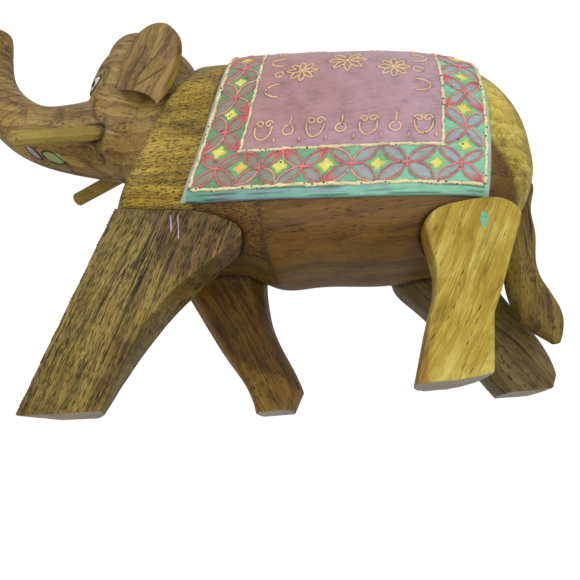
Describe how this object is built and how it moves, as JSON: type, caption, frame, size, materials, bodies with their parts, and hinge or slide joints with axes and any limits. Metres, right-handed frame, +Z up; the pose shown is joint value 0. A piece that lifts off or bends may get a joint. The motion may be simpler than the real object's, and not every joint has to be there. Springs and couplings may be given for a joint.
{
  "type": "carved elephant figurine",
  "caption": "Hand-carved wooden elephant standing in mid-stride with trunk raised, whittled tusks, glued-on legs, tail and ears, and a saddle blanket painted in raised floral relief",
  "frame": {"origin": "on the floor under the centre of the figure's box", "axes": "+Z up, the elephant faces -X along its length, its left side towards -Y"},
  "size_m": [0.3231, 0.1091, 0.2516],
  "materials": {
    "torso_wood": "smooth mid-brown mango wood under satin lacquer",
    "shoulder_wood": "yellow-brown mango wood with dark pores, satin lacquer",
    "head_wood": "reddish-brown mango wood with darker stains, satin lacquer",
    "front_left_leg_wood": "yellow-brown mango wood with long dark streaks, satin lacquer",
    "front_right_leg_wood": "dark brown mango wood, satin lacquer",
    "hind_left_leg_wood": "golden sapwood with faint figure, satin lacquer",
    "hind_right_leg_wood": "grey-brown mango wood, satin lacquer",
    "tail_wood": "grey-brown mango wood with streaks, satin lacquer",
    "ear_wood": "brown mango wood, satin lacquer",
    "tusk_wood": "pale whittled wood, thin lacquer",
    "blanket_paint": "gesso relief painted green, turquoise, mauve, pink and cream, low sheen",
    "cap_paint": "gesso relief painted mauve and cream, low sheen",
    "dowel_wood": "plain hardwood dowel"
  },
  "bodies": {
    "root": {"torso_block": "torso_wood", "shoulder_block": "shoulder_wood", "head_and_trunk": "head_wood", "leg_front_left": "front_left_leg_wood", "leg_front_right": "front_right_leg_wood", "leg_hind_left": "hind_left_leg_wood", "leg_hind_right": "hind_right_leg_wood", "tail": "tail_wood", "ear_left": "ear_wood", "ear_right": "ear_wood", "tusk_left": "tusk_wood", "tusk_right": "tusk_wood", "saddle_blanket": "blanket_paint", "head_cap": "cap_paint", "front_leg_dowels": "dowel_wood", "hind_leg_dowels": "dowel_wood", "shoulder_dowels": "dowel_wood", "neck_dowels": "dowel_wood"}
  },
  "joints": []
}
